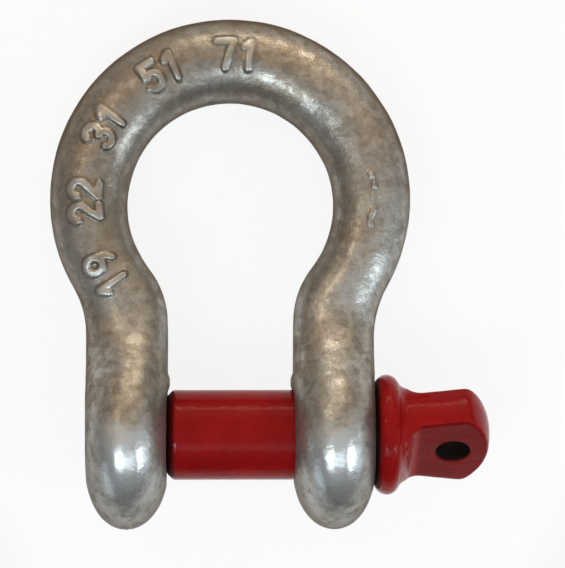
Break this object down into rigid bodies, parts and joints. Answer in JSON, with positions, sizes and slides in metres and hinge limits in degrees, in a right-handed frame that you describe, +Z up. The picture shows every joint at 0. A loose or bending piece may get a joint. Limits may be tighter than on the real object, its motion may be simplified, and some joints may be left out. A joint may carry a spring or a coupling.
{
  "type": "screw-pin bow shackle",
  "caption": "Galvanised bow shackle whose legs end in round ears joined by a red screw pin with a collar and a flat eye head, used to join chain, rope eyes and lifting points.",
  "frame": {"origin": "on the axis of the screw pin, midway between the inner faces of the two ears", "axes": "+X along the pin towards its eye head, +Y from the pin towards the crown of the bow, +Z up, with the shackle lying at rest on its two ears and its crown"},
  "size_m": [0.109, 0.1262, 0.047],
  "materials": {
    "galvanised_steel": "hot-dip galvanised forging, dull and mottled",
    "red_paint": "gloss red paint over a steel forging"
  },
  "bodies": {
    "shackle_body": {"bow": "galvanised_steel"},
    "pin_body": {"screw_pin": "red_paint"}
  },
  "joints": [
    {"name": "pin_withdraw", "type": "slide", "parent": "shackle_body", "child": "pin_body", "axis": [1, 0, 0], "range_m": [0, 0.1]}
  ]
}
